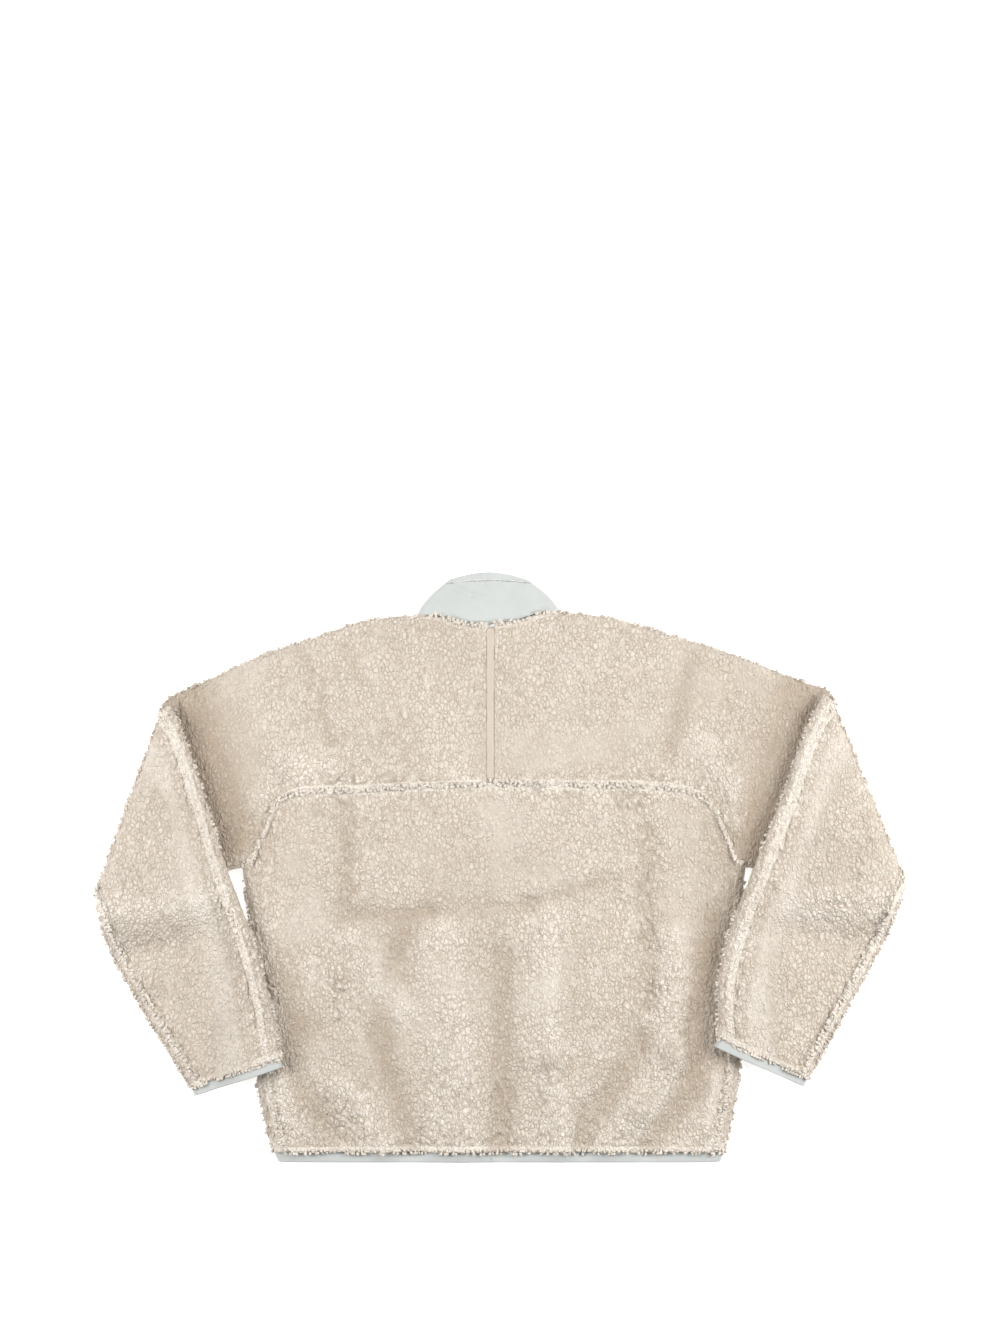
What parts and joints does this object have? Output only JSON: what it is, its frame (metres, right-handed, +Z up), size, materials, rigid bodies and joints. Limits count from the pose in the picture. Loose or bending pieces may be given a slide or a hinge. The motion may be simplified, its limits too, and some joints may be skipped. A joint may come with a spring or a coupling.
{
  "type": "fleece jacket laid flat",
  "caption": "Boucle fleece jacket laid flat on its front with both sleeves folded over, woven stand collar, bound hem and cuffs and a flat strip down the back yoke.",
  "frame": {"origin": "bottom centre of the bounding box, on the floor that the jacket lies on", "axes": "+X to the right of the seen back, +Y towards the collar, +Z up off the floor"},
  "size_m": [0.9706, 0.708, 0.041],
  "materials": {
    "fleece": "curly boucle pile",
    "woven_trim": "matte woven",
    "zip_tape": "woven tape with a moulded chain",
    "slider": "satin"
  },
  "bodies": {
    "root": {"yoke_sleeve_back_left": "fleece", "yoke_sleeve_back_right": "fleece", "yoke_sleeve_front_left": "fleece", "yoke_sleeve_front_right": "fleece", "back_panel": "fleece", "front_left": "fleece", "front_right": "fleece", "back_strip": "fleece", "collar": "woven_trim", "collar_binding": "woven_trim", "cuff_binding_left": "woven_trim", "cuff_binding_right": "woven_trim", "hem_binding": "woven_trim", "front_zip": "zip_tape", "zip_slider": "slider"}
  },
  "joints": []
}
